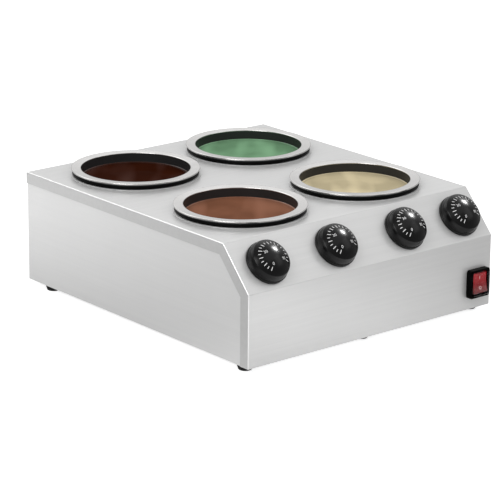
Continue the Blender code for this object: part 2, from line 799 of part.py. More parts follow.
def make_switch():
    """The mains switch: a housing through the front sheet, its rocker and a clear boot over it."""
    centre = switch_centre()
    half_width, half_height = switch_body_half()
    face_y = FRONT_Y - GAP - BEZEL_PROUD
    bezel_outline = rectangle_outline(centre.x, centre.z, BEZEL_WIDTH / 2, BEZEL_HEIGHT / 2, BEZEL_CORNER)
    bezel = prism_mesh("bezel", bezel_outline, "Y", face_y, FRONT_Y - GAP, BEZEL_EDGE)
    body_outline = rectangle_outline(centre.x, centre.z, half_width, half_height, BEZEL_EDGE, SLOT_STEPS)
    body_back = FRONT_Y + SWITCH_BODY_DEPTH
    body = prism_mesh("body", body_outline, "Y", face_y + BEZEL_PROUD / 2, body_back)
    cavity_half = (half_width - SWITCH_BODY_WALL, half_height - SWITCH_BODY_WALL)
    pivot = Vector((centre.x, face_y + ROCKER_FACE, centre.z))
    cavity_back = pivot.y + math.hypot(ROCKER_HUB, ROCKER_HEIGHT / 4) + ROCKER_SIDE_CLEARANCE
    cavity = box_mesh(
        "cavity",
        (centre.x - cavity_half[0], face_y - OVERRUN, centre.z - cavity_half[1]),
        (centre.x + cavity_half[0], cavity_back, centre.z + cavity_half[1]),
    )
    operations = [("UNION", body), ("DIFFERENCE", cavity)]
    for side in (-1, 1):
        for end in (-1, 1):
            x = centre.x + side * half_width / 2
            z = centre.z + end * half_height / 2
            low = (x - BLADE_THICKNESS / 2, body_back - OVERRUN, z - BLADE_WIDTH / 2)
            high = (x + BLADE_THICKNESS / 2, body_back + BLADE_LENGTH, z + BLADE_WIDTH / 2)
            operations.append(("UNION", box_mesh("blade", low, high)))
    add_part("switch_housing", baked(bezel, operations), gloss_black)
    add_part("switch_boot", boot_mesh(centre, face_y), clear_plastic)
    rocker = add_part("switch_rocker", rocker_mesh(), red_plastic)
    rocker.location = pivot
    rocker.rotation_euler = (-math.radians(ROCKER_TILT), 0, 0)


def rocker_mesh():
    """The rocker about its own pivot: a dished face in front and a hub behind."""
    half = ROCKER_HEIGHT / 2
    outline = [
        Vector((-ROCKER_FACE, half)),
        Vector((-ROCKER_FACE + ROCKER_DISH, 0)),
        Vector((-ROCKER_FACE, -half)),
        Vector((-ROCKER_SHOULDER, -half)),
        Vector((ROCKER_HUB, -half / 2)),
        Vector((ROCKER_HUB, half / 2)),
        Vector((-ROCKER_SHOULDER, half)),
    ]
    return smooth(prism_mesh("rocker", outline, "X", -ROCKER_WIDTH / 2, ROCKER_WIDTH / 2))


def boot_mesh(centre, face_y):
    """The clear boot over the rocker, a thin cap that is open at its back."""
    inner_width = ROCKER_WIDTH / 2 + ROCKER_SIDE_CLEARANCE
    inner_height = ROCKER_HEIGHT / 2 + ROCKER_END_CLEARANCE
    back = face_y - GAP
    front = back - BOOT_SPACE - BOOT_WALL
    outer = rectangle_outline(
        centre.x, centre.z, inner_width + BOOT_WALL, inner_height + BOOT_WALL, BOOT_CORNER
    )
    inner = rectangle_outline(centre.x, centre.z, inner_width, inner_height, BOOT_CORNER - BOOT_WALL)
    cap = prism_mesh("boot", outer, "Y", front, back, BOOT_EDGE)
    space = prism_mesh("boot_space", inner, "Y", front + BOOT_WALL, back + OVERRUN)
    return baked(cap, [("DIFFERENCE", space)])


def make_terminal_block():
    """The mains terminal block on the base."""
    y = (FRONT_Y + BACK_Y) / 2 + BLOCK_Y_SHARE * CASING_DEPTH
    bottom = BASE_TOP_Z + GAP
    top = bottom + BLOCK_HEIGHT
    low = (-BLOCK_WIDTH / 2, y - BLOCK_LENGTH / 2, bottom)
    high = (BLOCK_WIDTH / 2, y + BLOCK_LENGTH / 2, top)
    holes = []
    for index in (-1, 0, 1):
        for row in (-1, 1):
            place = Matrix.Translation((index * BLOCK_PITCH, y + row * BLOCK_LENGTH / 4, top))
            holes.append(drum_mesh("hole", BLOCK_HOLE_RADIUS, -BLOCK_HOLE_DEPTH, OVERRUN, HOLE_STEPS, place))
    block = baked(box_mesh("block", low, high, BLOCK_EDGE), [("DIFFERENCE", joined_mesh("holes", holes))])
    add_part("terminal_block", block, pale_plastic)


def make_cable_gland():
    """The mains inlet: a gland through the back panel and the nut that holds it from inside."""
    hex_bottom = GAP
    hex_top = hex_bottom + GLAND_HEX_LENGTH
    cap_top = hex_top + GLAND_CAP_LENGTH - GAP
    barrel_bottom = -SHEET - GLAND_BARREL_LENGTH
    profile = [(0, cap_top), (GLAND_CAP_RADIUS - GLAND_LIP, cap_top)]
    profile += arc(GLAND_CAP_RADIUS - GLAND_LIP, cap_top - GLAND_LIP, GLAND_LIP, 90, 0)[1:]
    profile += [
        (GLAND_CAP_RADIUS, hex_bottom + GLAND_HEX_LENGTH / 2),
        (GLAND_BARREL, hex_bottom + GLAND_HEX_LENGTH / 2),
        (GLAND_BARREL, barrel_bottom),
        (0, barrel_bottom),
    ]
    body = turned_mesh("gland", profile, KNOB_STEPS)
    collar = drum_mesh("collar", hexagon_radius(GLAND_ACROSS_FLATS), hex_bottom, hex_top, HEXAGON)
    bore = drum_mesh("bore", GLAND_BORE, barrel_bottom - OVERRUN, cap_top + OVERRUN, SHAFT_STEPS)
    gland = baked(body, [("UNION", collar), ("DIFFERENCE", bore)])
    turn = Matrix.Translation(gland_centre()) @ Matrix.Rotation(-math.pi / 2, 4, "X")
    add_part("cable_gland", gland, dark_plastic).matrix_world = turn
    high = -SHEET - GAP
    nut = nut_mesh(
        GLAND_ACROSS_FLATS, GLAND_BARREL + GAP, high - GLAND_NUT_THICKNESS, high, KNOB_STEPS
    )
    add_part("gland_nut", nut, dark_plastic).matrix_world = turn


def make_pots():
    meshes = {
        "well": well_mesh(),
        "heater": heater_mesh(),
        "seal": seal_mesh(),
        "pot": pot_mesh(),
        "rim": rim_mesh(),
        "chocolate": chocolate_mesh(),
    }
    for name in POT_PLACES:
        colour = CHOCOLATE_COLOURS[name]
        make_pot_station(name, meshes, finish(f"chocolate_{name}", colour, 0.28))


def make_knobs():
    nut_low = GAP
    meshes = {
        "thermostat": thermostat_mesh(),
        "nut": nut_mesh(
            NUT_ACROSS_FLATS, BUSHING_RADIUS + GAP, nut_low, nut_low + NUT_THICKNESS, SHAFT_STEPS
        ),
        "shaft": shaft_mesh(),
        "knob": knob_mesh(),
    }
    for number, share in enumerate(KNOB_X_SHARES, 1):
        make_knob_station(number, share, meshes)


clear_scene()
parts = new_collection("chocolate_melter")
cutters = new_collection("cutters")

brushed = finish("brushed_steel", STEEL, 0.34, metallic=1.0)
polished = finish("polished_steel", BRIGHT_STEEL, 0.16, metallic=1.0)
galvanised = finish("galvanised_steel", (0.50, 0.51, 0.52), 0.45, metallic=1.0)
heater_steel = finish("heater_plate", (0.30, 0.29, 0.27), 0.55, metallic=0.6)
black_coat = finish("non_stick_black", BLACK_COATING, 0.38)
rubber = finish("black_rubber", RUBBER_BLACK, 0.55)
gloss_black = finish("gloss_black", GLOSS_BLACK, 0.14, coat=0.5)
dark_plastic = finish("dark_plastic", (0.03, 0.03, 0.03), 0.5)
pale_plastic = finish("pale_plastic", (0.62, 0.60, 0.54), 0.5)
red_plastic = finish("red_rocker", (0.42, 0.01, 0.012), 0.25)
clear_plastic = finish("clear_boot", (0.85, 0.80, 0.80), 0.12, alpha=0.35)

make_top_cover()
make_side_panels()
make_back_panel()
make_base_plate()
make_feet()
make_pots()
make_knobs()
make_switch()
make_terminal_block()
make_cable_gland()
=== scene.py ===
import json
import math

import bmesh
import bpy
from mathutils import Matrix, Vector


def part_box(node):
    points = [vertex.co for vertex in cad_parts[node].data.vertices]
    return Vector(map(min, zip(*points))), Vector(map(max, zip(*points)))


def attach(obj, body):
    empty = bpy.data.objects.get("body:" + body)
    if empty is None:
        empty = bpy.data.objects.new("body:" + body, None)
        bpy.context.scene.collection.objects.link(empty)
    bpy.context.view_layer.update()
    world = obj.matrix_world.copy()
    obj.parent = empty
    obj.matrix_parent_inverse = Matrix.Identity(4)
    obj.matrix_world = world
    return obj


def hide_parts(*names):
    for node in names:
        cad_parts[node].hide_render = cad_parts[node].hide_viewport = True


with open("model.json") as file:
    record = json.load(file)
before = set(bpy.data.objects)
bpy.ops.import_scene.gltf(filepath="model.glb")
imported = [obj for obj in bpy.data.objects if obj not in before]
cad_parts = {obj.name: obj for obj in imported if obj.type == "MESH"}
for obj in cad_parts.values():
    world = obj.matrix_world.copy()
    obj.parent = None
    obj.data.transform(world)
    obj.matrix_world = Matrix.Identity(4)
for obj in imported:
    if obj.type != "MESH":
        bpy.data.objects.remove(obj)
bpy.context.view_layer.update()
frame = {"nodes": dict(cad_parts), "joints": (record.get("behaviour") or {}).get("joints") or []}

# The camera, fitted to the photograph
AZIMUTH = -39.94
ELEVATION = 17.25
ROLL = 0.48
DISTANCE = 3.40
FOCAL_PIXELS = 2646.9
TARGET_ACROSS = -0.0067
TARGET_UP = -0.0114
TARGET_HEIGHT = 0.075
PICTURE_PIXELS = 500.0
SENSOR = 36.0

# Facets of the fine pieces
POT_STEPS = 144
KNOB_STEPS = 96
SMALL_STEPS = 48
ARC_STEPS = 8
BEND_STEPS = 8
DOME_STEPS = 12
RIM_ROUND_STEPS = 6
ROUND_STEPS = 4
SOFT_SEGMENTS = 4
ROCKER_SEGMENTS = 3
NUMERAL_STEPS = 3

# Sheet metal, as in the casing
GAP = 0.0003
SHEET = 0.0010
SLOPE_RUN = 0.048
SLOPE_DROP = 0.0525
BEND_RADIUS = 0.0025
FOLD_RADIUS = 0.0013
COVER_FLANGE = 0.015
BUSHING_RADIUS = 0.005
OVERRUN = 0.005
SHARP_ANGLE = 40.0
MERGE_DISTANCE = 0.000001

# Pots
POT_WALL = 0.0015
POT_CORNER = 0.012
WELL_CLEARANCE = 0.0025
RIM_ROUND = 0.0006
RIM_INNER_ROUND = 0.0009
RIM_DISH = 0.0004
SEAL_ROUND = 0.0008
WELL_SHEET = 0.0008
COLLAR_ROUND = 0.0003
MENISCUS_WIDTH = 0.0035
MENISCUS_RISE = 0.0011

# Knobs
KNOB_NUMBERS = range(1, 5)
KNOB_EDGE = 0.0020
KNOB_FACE_DOME = 0.0090
KNOB_SKIRT = 0.0008
KNOB_TAPER = 0.0016
KNOB_SKIRT_HEIGHT = 0.0040
KNOB_SKIRT_ROUND = 0.0004
KNOB_RECESS_RADIUS = 0.0125
KNOB_RECESS_DEPTH = 0.006
MARK_LIFT = 0.00006
MARK_THICKNESS = 0.00008
TICK_WIDTH = 0.0009
TICK_OUTER = 0.0203
TICK_SHORT = 0.0028
TICK_LONG = 0.0042
TICK_STEP = 14.7
TICK_COUNT = 19
TICK_ROWS = 5
DIAL_START = -144.0
NUMERAL_RADIUS = 0.0122
NUMERAL_SIZE = 0.0052
NUMERALS = ("0", "30", "60", "90")

# Mains switch
ROCKER_WIDTH = 0.024
ROCKER_HEIGHT = 0.026
ROCKER_FACE = 0.009
ROCKER_DISH = 0.0015
ROCKER_SHOULDER = 0.004
ROCKER_HUB = 0.004
ROCKER_TILT = 7.0
ROCKER_EDGE = 0.0006
ROCKER_SIDE_CLEARANCE = 0.0006
ROCKER_END_CLEARANCE = 0.0019
ROCKER_MARK_UP = 0.0068
ROCKER_MARK_SIZE = 0.0058
SWITCH_BODY_WALL = 0.0015
BODY_CORNER = 0.001
BOOT_WALL = 0.0008
BOOT_CORNER = 0.0030
BOOT_EDGE = 0.0016

# Feet
FOOT_TOP = 0.0074
FOOT_TAPER = 0.0012
FOOT_ROUND = 0.0020

# The casing's faces, from the frame
COVER_LOW, COVER_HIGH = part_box("top_cover")
SIDE_X = COVER_HIGH.x
FRONT_Y, BACK_Y = COVER_LOW.y, COVER_HIGH.y
FLOOR_Z, DECK_Z = COVER_LOW.z, COVER_HIGH.z

# The studio: a floor and a world whose reflections have their own levels and soft spots
FLOOR_HALF = 30.0
FLOOR_SHINE = 0.80
FLOOR_LEVEL = 0.40
FLOOR_POOLS = (
    ((-0.45, 0.60, 0.0), 0.70, 1.60),
    ((-0.02, -0.42, 0.0), 0.50, 1.55),
    ((-0.50, -0.50, 0.0), 0.55, 1.5),
)
WORLD_LEVEL = 0.62
WORLD_RISE = (0.0, 0.60, 0.34, 0.46)
WORLD_POOLS = (
    ((0.40, 0.62, 0.68), 0.95, 1.7),
    ((-0.30, 0.73, 0.61), 0.60, 3.0),
    ((-0.74, -0.26, 0.61), 0.50, 2.0),
)

# The lamps: place, the point that it faces, width and height, power. The glint lights the knobs alone.
CASING_MIDDLE = (0.0, 0.0, 0.1)
SLOPE_MIDDLE = (0.0, -0.2, 0.13)
LAMPS = {
    "key": ((-1.63, -0.66, 1.45), CASING_MIDDLE, (1.2, 1.2), 14),
    "fill": ((1.4, -1.6, 1.2), CASING_MIDDLE, (1.2, 1.2), 4),
    "card": ((0.15, -0.57, 0.80), SLOPE_MIDDLE, (0.95, 0.5), 0.8),
    "glint": ((2.94, 0.06, 2.82), SLOPE_MIDDLE, (0.75, 0.75), 135),
}

POTS = ("rear_left", "rear_right", "front_left", "front_right")
CHOCOLATE_COLOURS = {
    "rear_left": (0.036, 0.0085, 0.0036),
    "rear_right": (0.178, 0.345, 0.195),
    "front_left": (0.215, 0.090, 0.051),
    "front_right": (0.620, 0.530, 0.340),
}


def smooth(mesh):
    """Smooth shading, but for edges sharper than the sharp angle."""
    mesh.shade_smooth()
    mesh.set_sharp_from_angle(angle=math.radians(SHARP_ANGLE))
    return mesh


def new_piece(name, mesh, material, body, replaces=()):
    """A piece in place that rides on a CAD body."""
    piece = bpy.data.objects.new(name, mesh)
    bpy.context.scene.collection.objects.link(piece)
    mesh.materials.clear()
    mesh.materials.append(material)
    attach(piece, body)
    if replaces:
        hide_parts(*replaces)
    return piece


def joint_named(name):
    return next(item for item in frame["joints"] if item["name"] == name)


def joint_place(name):
    return Vector(joint_named(name)["pos_m"])


def mesh_from(name, work):
    """A mesh with its faces pointing out, from a bmesh, which goes."""
    bmesh.ops.recalc_face_normals(work, faces=work.faces)
    mesh = bpy.data.meshes.new(name)
    work.to_mesh(mesh)
    work.free()
    return mesh


def arc(across, up, radius, start, end, steps=ARC_STEPS):
    """Points along an arc between two angles in degrees."""
    points = []
    for step in range(steps + 1):
        angle = math.radians(start + (end - start) * step / steps)
        points.append((across + radius * math.cos(angle), up + radius * math.sin(angle)))
    return points


def turned(name, profile, steps, matrix, closed=False):
    """A profile of (radius, height) points turned about Z, then placed by a matrix."""
    work = bmesh.new()
    rings = []
    for radius, height in profile:
        if radius < MERGE_DISTANCE:
            rings.append([work.verts.new((0, 0, height))] * steps)
            continue
        ring = []
        for step in range(steps):
            angle = 2 * math.pi * step / steps
            ring.append(work.verts.new((radius * math.cos(angle), radius * math.sin(angle), height)))
        rings.append(ring)
    pairs = list(zip(rings, rings[1:]))
    if closed:
        pairs.append((rings[-1], rings[0]))
    for one, other in pairs:
        for step in range(steps):
            after = (step + 1) % steps
            corners = [one[step], one[after], other[after], other[step]]
            unique = list(dict.fromkeys(corners))
            if len(unique) > 2:
                work.faces.new(unique)
    work.transform(matrix)
    return smooth(mesh_from(name, work))


def box_mesh(name, low, high):
    """A box between two corners."""
    work = bmesh.new()
    size = Vector(high) - Vector(low)
    middle = (Vector(high) + Vector(low)) / 2
    matrix = Matrix.Translation(middle) @ Matrix.Diagonal((*size, 1.0))
    bmesh.ops.create_cube(work, size=1.0, matrix=matrix)
    return smooth(mesh_from(name, work))


def drum_mesh(name, radius, low, high, steps, matrix):
    """A cylinder about a matrix's Z axis, between two heights."""
    work = bmesh.new()
    place = matrix @ Matrix.Translation((0, 0, (low + high) / 2))
    bmesh.ops.create_cone(
        work, cap_ends=True, segments=steps, radius1=radius, radius2=radius, depth=high - low, matrix=place
    )
    return mesh_from(name, work)


def rounded_outline(corners, steps):
    """An outline through corners given as (across, up, radius), with arcs at the round ones."""
    outline = []
    for index, (across, up, radius) in enumerate(corners):
        here = Vector((across, up))
        if radius <= 0:
            outline.append(here)
            continue
        before = (Vector(corners[index - 1][:2]) - here).normalized()
        after = (Vector(corners[(index + 1) % len(corners)][:2]) - here).normalized()
        half = before.angle(after) / 2
        sweep = math.pi - 2 * half
        centre = here + (before + after).normalized() * (radius / math.sin(half))
        start = here + before * (radius / math.tan(half)) - centre
        end = here + after * (radius / math.tan(half)) - centre
        for step in range(steps + 1):
            share = step / steps
            spoke = start * math.sin((1 - share) * sweep) + end * math.sin(share * sweep)
            outline.append(centre + spoke / math.sin(sweep))
    return outline


def rectangle_outline(centre_across, centre_up, half_across, half_up, corner):
    """A rectangle with round corners."""
    corners = [
        (centre_across + half_across, centre_up + half_up, corner),
        (centre_across - half_across, centre_up + half_up, corner),
        (centre_across - half_across, centre_up - half_up, corner),
        (centre_across + half_across, centre_up - half_up, corner),
    ]
    return rounded_outline(corners, BEND_STEPS)


def prism_mesh(name, outline, axis, low, high, soft_low=0.0, soft_high=0.0, segments=SOFT_SEGMENTS):
    """An outline extruded along X or Y, with a soft edge round either end if one is given."""
    spread = {
        "X": lambda across, up: (low, across, up),
        "Y": lambda across, up: (across, low, up),
    }[axis]
    along = "XY".index(axis)
    step = Vector((0, 0, 0))
    step[along] = high - low
    work = bmesh.new()
    face = work.faces.new([work.verts.new(spread(across, up)) for across, up in outline])
    grown = bmesh.ops.extrude_face_region(work, geom=[face])["geom"]
    far_verts = [item for item in grown if isinstance(item, bmesh.types.BMVert)]
    bmesh.ops.translate(work, vec=step, verts=far_verts)
    bmesh.ops.recalc_face_normals(work, faces=work.faces)
    middle = (low + high) / 2
    for soft, is_high in ((soft_low, False), (soft_high, True)):
        if soft <= 0:
            continue
        end = [vert for vert in work.verts if (vert.co[along] > middle) == is_high]
        rim = [edge for edge in work.edges if all(vert in end for vert in edge.verts)]
        bmesh.ops.bevel(work, geom=rim, offset=soft, segments=segments, profile=0.5, affect="EDGES")
    return smooth(mesh_from(name, work))


def joined_mesh(name, meshes):
    """One mesh of several closed shapes that lie apart."""
    work = bmesh.new()
    for mesh in meshes:
        work.from_mesh(mesh)
        bpy.data.meshes.remove(mesh)
    mesh = bpy.data.meshes.new(name)
    work.to_mesh(mesh)
    work.free()
    return mesh


def cut_mesh(mesh, cutters):
    """A new mesh: the first one less all the cutters, with its flat faces shaded flat."""
    base = bpy.data.objects.new("base", mesh)
    bpy.context.scene.collection.objects.link(base)
    tools = []
    for cutter in cutters:
        tool = bpy.data.objects.new("tool", cutter)
        bpy.context.scene.collection.objects.link(tool)
        tools.append(tool)
        modifier = base.modifiers.new("cut", "BOOLEAN")
        modifier.operation = "DIFFERENCE"
        modifier.solver = "EXACT"
        modifier.object = tool
    result = evaluated_mesh(base)
    for tool in tools:
        bpy.data.objects.remove(tool)
    return flattened(smooth(result))


def evaluated_mesh(holder):
    """The mesh that an object's modifiers give; the object goes."""
    graph = bpy.context.evaluated_depsgraph_get()
    mesh = bpy.data.meshes.new_from_object(holder.evaluated_get(graph))
    bpy.data.objects.remove(holder)
    return mesh


def flattened(mesh):
    """Keeps the large flat faces flat in the shading, so that only the bends between them curve."""
    holder = bpy.data.objects.new("flattened", mesh)
    bpy.context.scene.collection.objects.link(holder)
    modifier = holder.modifiers.new("weights", "WEIGHTED_NORMAL")
    modifier.mode = "FACE_AREA"
    modifier.weight = 100
    modifier.keep_sharp = True
    return evaluated_mesh(holder)


def node_material(name):
    """A new material, its node tree and its shader."""
    material = bpy.data.materials.new(name)
    material.use_nodes = True
    tree = material.node_tree
    return material, tree, tree.nodes["Principled BSDF"]


def noise(tree, scale, stretch, detail=2.0, roughness=0.5):
    """A noise texture in the object's own metres, with its own stretch along each axis."""
    place = tree.nodes.new("ShaderNodeTexCoord")
    mapping = tree.nodes.new("ShaderNodeMapping")
    mapping.inputs["Scale"].default_value = stretch
    texture = tree.nodes.new("ShaderNodeTexNoise")
    texture.inputs["Scale"].default_value = scale
    texture.inputs["Detail"].default_value = detail
    texture.inputs["Roughness"].default_value = roughness
    tree.links.new(place.outputs["Object"], mapping.inputs["Vector"])
    tree.links.new(mapping.outputs["Vector"], texture.inputs["Vector"])
    return texture.outputs["Fac"]


def ramp(tree, source, low, high, low_at=0.3, high_at=0.7):
    """A value or colour that runs from low to high with the source."""
    node = tree.nodes.new("ShaderNodeValToRGB")
    points = node.color_ramp.elements
    points[0].position, points[1].position = low_at, high_at
    points[0].color = (*low, 1.0) if isinstance(low, tuple) else (low, low, low, 1.0)
    points[1].color = (*high, 1.0) if isinstance(high, tuple) else (high, high, high, 1.0)
    tree.links.new(source, node.inputs["Fac"])
    return node.outputs["Color"]


def multiplied(tree, one, other):
    """Two colour sockets multiplied."""
    node = tree.nodes.new("ShaderNodeMix")
    node.data_type = "RGBA"
    node.blend_type = "MULTIPLY"
    node.inputs["Factor"].default_value = 1.0
    tree.links.new(one, node.inputs["A"])
    tree.links.new(other, node.inputs["B"])
    return node.outputs["Result"]


def bumped(tree, shader, source, strength, distance):
    """Fine relief from a source, which the shader's normal follows."""
    node = tree.nodes.new("ShaderNodeBump")
    node.inputs["Strength"].default_value = strength
    node.inputs["Distance"].default_value = distance
    tree.links.new(source, node.inputs["Height"])
    tree.links.new(node.outputs["Normal"], shader.inputs["Normal"])


def pool(tree, source, centre, radius):
    """A soft round spot in a vector field: 1 in its middle, 0 from its radius on."""
    mapping = tree.nodes.new("ShaderNodeMapping")
    mapping.inputs["Location"].default_value = [-value / radius for value in centre]
    mapping.inputs["Scale"].default_value = (1 / radius, 1 / radius, 1 / radius)
    spot = tree.nodes.new("ShaderNodeTexGradient")
    spot.gradient_type = "QUADRATIC_SPHERE"
    tree.links.new(source, mapping.inputs["Vector"])
    tree.links.new(mapping.outputs["Vector"], spot.inputs["Vector"])
    return spot.outputs["Fac"]


def calculated(tree, operation, *values):
    """A Math node on sockets or plain numbers."""
    node = tree.nodes.new("ShaderNodeMath")
    node.operation = operation
    for socket, value in zip(node.inputs, values):
        if isinstance(value, (int, float)):
            socket.default_value = value
        else:
            tree.links.new(value, socket)
    return node.outputs["Value"]


def ranged(tree, source, from_low, from_high, to_low, to_high):
    """A value carried from one range to another, and held at its ends."""
    node = tree.nodes.new("ShaderNodeMapRange")
    node.inputs["From Min"].default_value = from_low
    node.inputs["From Max"].default_value = from_high
    node.inputs["To Min"].default_value = to_low
    node.inputs["To Max"].default_value = to_high
    tree.links.new(source, node.inputs["Value"])
    return node.outputs["Result"]


def blended(tree, factor, one, other):
    """Two colours or values mixed by a factor socket."""
    node = tree.nodes.new("ShaderNodeMix")
    node.data_type = "RGBA"
    tree.links.new(factor, node.inputs["Factor"])
    for name, value in (("A", one), ("B", other)):
        if isinstance(value, tuple):
            node.inputs[name].default_value = (*value, 1.0)
        else:
            tree.links.new(value, node.inputs[name])
    return node.outputs["Result"]


def fold_mask(tree):
    """1 on the folds at the sheet's sides, where its normal turns from X, and 0 on its flat faces: it places
    the folds' painted highlight and their smoother finish.
    """
    surface = tree.nodes.new("ShaderNodeNewGeometry")
    parts = tree.nodes.new("ShaderNodeSeparateXYZ")
    tree.links.new(surface.outputs["Normal"], parts.inputs["Vector"])
    turned_away = calculated(tree, "ABSOLUTE", parts.outputs["X"])
    rising = ranged(tree, turned_away, 0.10, 0.45, 0.0, 1.0)
    falling = ranged(tree, turned_away, 0.80, 0.98, 1.0, 0.0)
    return calculated(tree, "MULTIPLY", rising, falling)


def painted_flange_shade(tree):
    """A painted shade: a little less than 1 on the flanges at the sheet's sides, which face straight along
    X, so that they render darker.
    """
    surface = tree.nodes.new("ShaderNodeNewGeometry")
    parts = tree.nodes.new("ShaderNodeSeparateXYZ")
    tree.links.new(surface.outputs["Normal"], parts.inputs["Vector"])
    return ranged(tree, calculated(tree, "ABSOLUTE", parts.outputs["X"]), 0.96, 0.99, 1.0, FLANGE_PAINTED_SHADE)


def brushed_steel(name, stretch, colour, rough=(0.34, 0.46), folds=False, contrast=0.07):
    """Brushed stainless: long fine lines, a few broad faint streaks, clouds from handling; with folds, a
    painted highlight on the folds, which are also smoother, and a painted shade on the flanges.
    """
    material, tree, shader = node_material(name)
    shader.inputs["Metallic"].default_value = STEEL_METALLIC
    lines = noise(tree, 1.0, stretch, detail=3.0, roughness=0.7)
    streaks = noise(tree, 0.22, stretch, detail=2.0)
    clouds = noise(tree, 9.0, (1.0, 1.0, 1.0), detail=3.0)
    dark = tuple(value * (1 - contrast) for value in colour)
    tint = ramp(tree, lines, dark, colour, 0.15, 0.85)
    tint = multiplied(tree, tint, ramp(tree, streaks, 1 - contrast / 2, 1.0))
    tint = multiplied(tree, tint, ramp(tree, clouds, 1 - contrast / 2, 1.0))
    roughness = ramp(tree, lines, rough[0], rough[1])
    if folds:
        mask = fold_mask(tree)
        # The folds' lighter tone is a painted highlight; their lower roughness is a real smoother finish.
        tint = blended(tree, mask, tint, (FOLD_PAINTED_HIGHLIGHT_TONE, FOLD_PAINTED_HIGHLIGHT_TONE, FOLD_PAINTED_HIGHLIGHT_TONE))
        roughness = blended(tree, mask, roughness, (FOLD_ROUGHNESS, FOLD_ROUGHNESS, FOLD_ROUGHNESS))
        # Painted shade: the flanges, which face along X, are darkened.
        tint = multiplied(tree, tint, painted_flange_shade(tree))
    tree.links.new(tint, shader.inputs["Base Color"])
    tree.links.new(roughness, shader.inputs["Roughness"])
    bumped(tree, shader, lines, 0.10, 0.00005)
    return material


def polished_steel(name, colour=(0.72, 0.71, 0.70), rough=(0.12, 0.20)):
    """Bright steel with faint turning marks."""
    material, tree, shader = node_material(name)
    shader.inputs["Metallic"].default_value = 1.0
    clouds = noise(tree, 60.0, (1.0, 1.0, 1.0), detail=4.0)
    worn = tuple(value * 0.96 for value in colour)
    tree.links.new(ramp(tree, clouds, worn, colour), shader.inputs["Base Color"])
    tree.links.new(ramp(tree, clouds, rough[0], rough[1]), shader.inputs["Roughness"])
    return material


def moulded(name, colour, rough, specular=0.5, grain=1800.0, depth=0.00003):
    """Moulded plastic or rubber with a fine grain."""
    material, tree, shader = node_material(name)
    fine = noise(tree, grain, (1.0, 1.0, 1.0), detail=2.0)
    wide = noise(tree, 40.0, (1.0, 1.0, 1.0), detail=3.0)
    light = tuple(min(1.0, value * 1.25) for value in colour)
    tree.links.new(ramp(tree, wide, colour, light), shader.inputs["Base Color"])
    tree.links.new(ramp(tree, fine, rough * 0.9, min(1.0, rough * 1.15)), shader.inputs["Roughness"])
    shader.inputs["Specular IOR Level"].default_value = specular
    bumped(tree, shader, fine, 0.15, depth)
    return material


def chocolate_material(name, colour, centre, radius):
    """Melted chocolate: slow swirls, soft light streaks painted in as reflections, and a glossy edge where
    it climbs the wall.
    """
    material, tree, shader = node_material(name)
    swirl = noise(tree, 26.0, (1.0, 1.0, 1.0), detail=2.0, roughness=0.4)
    # Painted reflections: soft light streaks laid into the base colour along a fixed angle.
    place = tree.nodes.new("ShaderNodeTexCoord")
    mapping = tree.nodes.new("ShaderNodeMapping")
    mapping.vector_type = "TEXTURE"
    mapping.inputs["Rotation"].default_value = (0, 0, math.radians(AZIMUTH))
    mapping.inputs["Scale"].default_value = PAINTED_STREAK_SIZE
    streaks = tree.nodes.new("ShaderNodeTexNoise")
    streaks.inputs["Scale"].default_value = 1.0
    streaks.inputs["Detail"].default_value = 1.0
    tree.links.new(place.outputs["Object"], mapping.inputs["Vector"])
    tree.links.new(mapping.outputs["Vector"], streaks.inputs["Vector"])
    deep = tuple(value * 0.88 for value in colour)
    light = tuple(min(1.0, value * 1.1) for value in colour)
    painted_reflection = tuple(min(1.0, value * 1.4 + 0.016) for value in colour)
    base = ramp(tree, swirl, deep, light, 0.35, 0.65)
    painted_light = ranged(tree, streaks.outputs["Fac"], 0.48, 0.68, 0.0, 1.0)
    tree.links.new(blended(tree, painted_light, base, painted_reflection), shader.inputs["Base Color"])
    tree.links.new(ramp(tree, swirl, 0.30, 0.40), shader.inputs["Roughness"])
    shader.inputs["Specular IOR Level"].default_value = 0.0
    within = pool(tree, place.outputs["Object"], centre, 2 * radius)
    edge = (1 - (radius - MENISCUS_WIDTH) / (2 * radius)) ** 2
    tree.links.new(ranged(tree, within, edge, edge * 0.98, 0.01, 0.9), shader.inputs["Coat Weight"])
    shader.inputs["Coat Roughness"].default_value = 0.06
    bumped(tree, shader, swirl, 0.12, 0.0004)
    return material


def clear_material(name, tint):
    """Clear soft plastic."""
    material, tree, shader = node_material(name)
    cloud = noise(tree, 300.0, (1.0, 1.0, 1.0), detail=2.0)
    deep = tuple(value * 0.97 for value in tint)
    tree.links.new(ramp(tree, cloud, deep, tint), shader.inputs["Base Color"])
    tree.links.new(ramp(tree, cloud, 0.04, 0.10), shader.inputs["Roughness"])
    shader.inputs["Transmission Weight"].default_value = 1.0
    shader.inputs["IOR"].default_value = 1.08
    return material


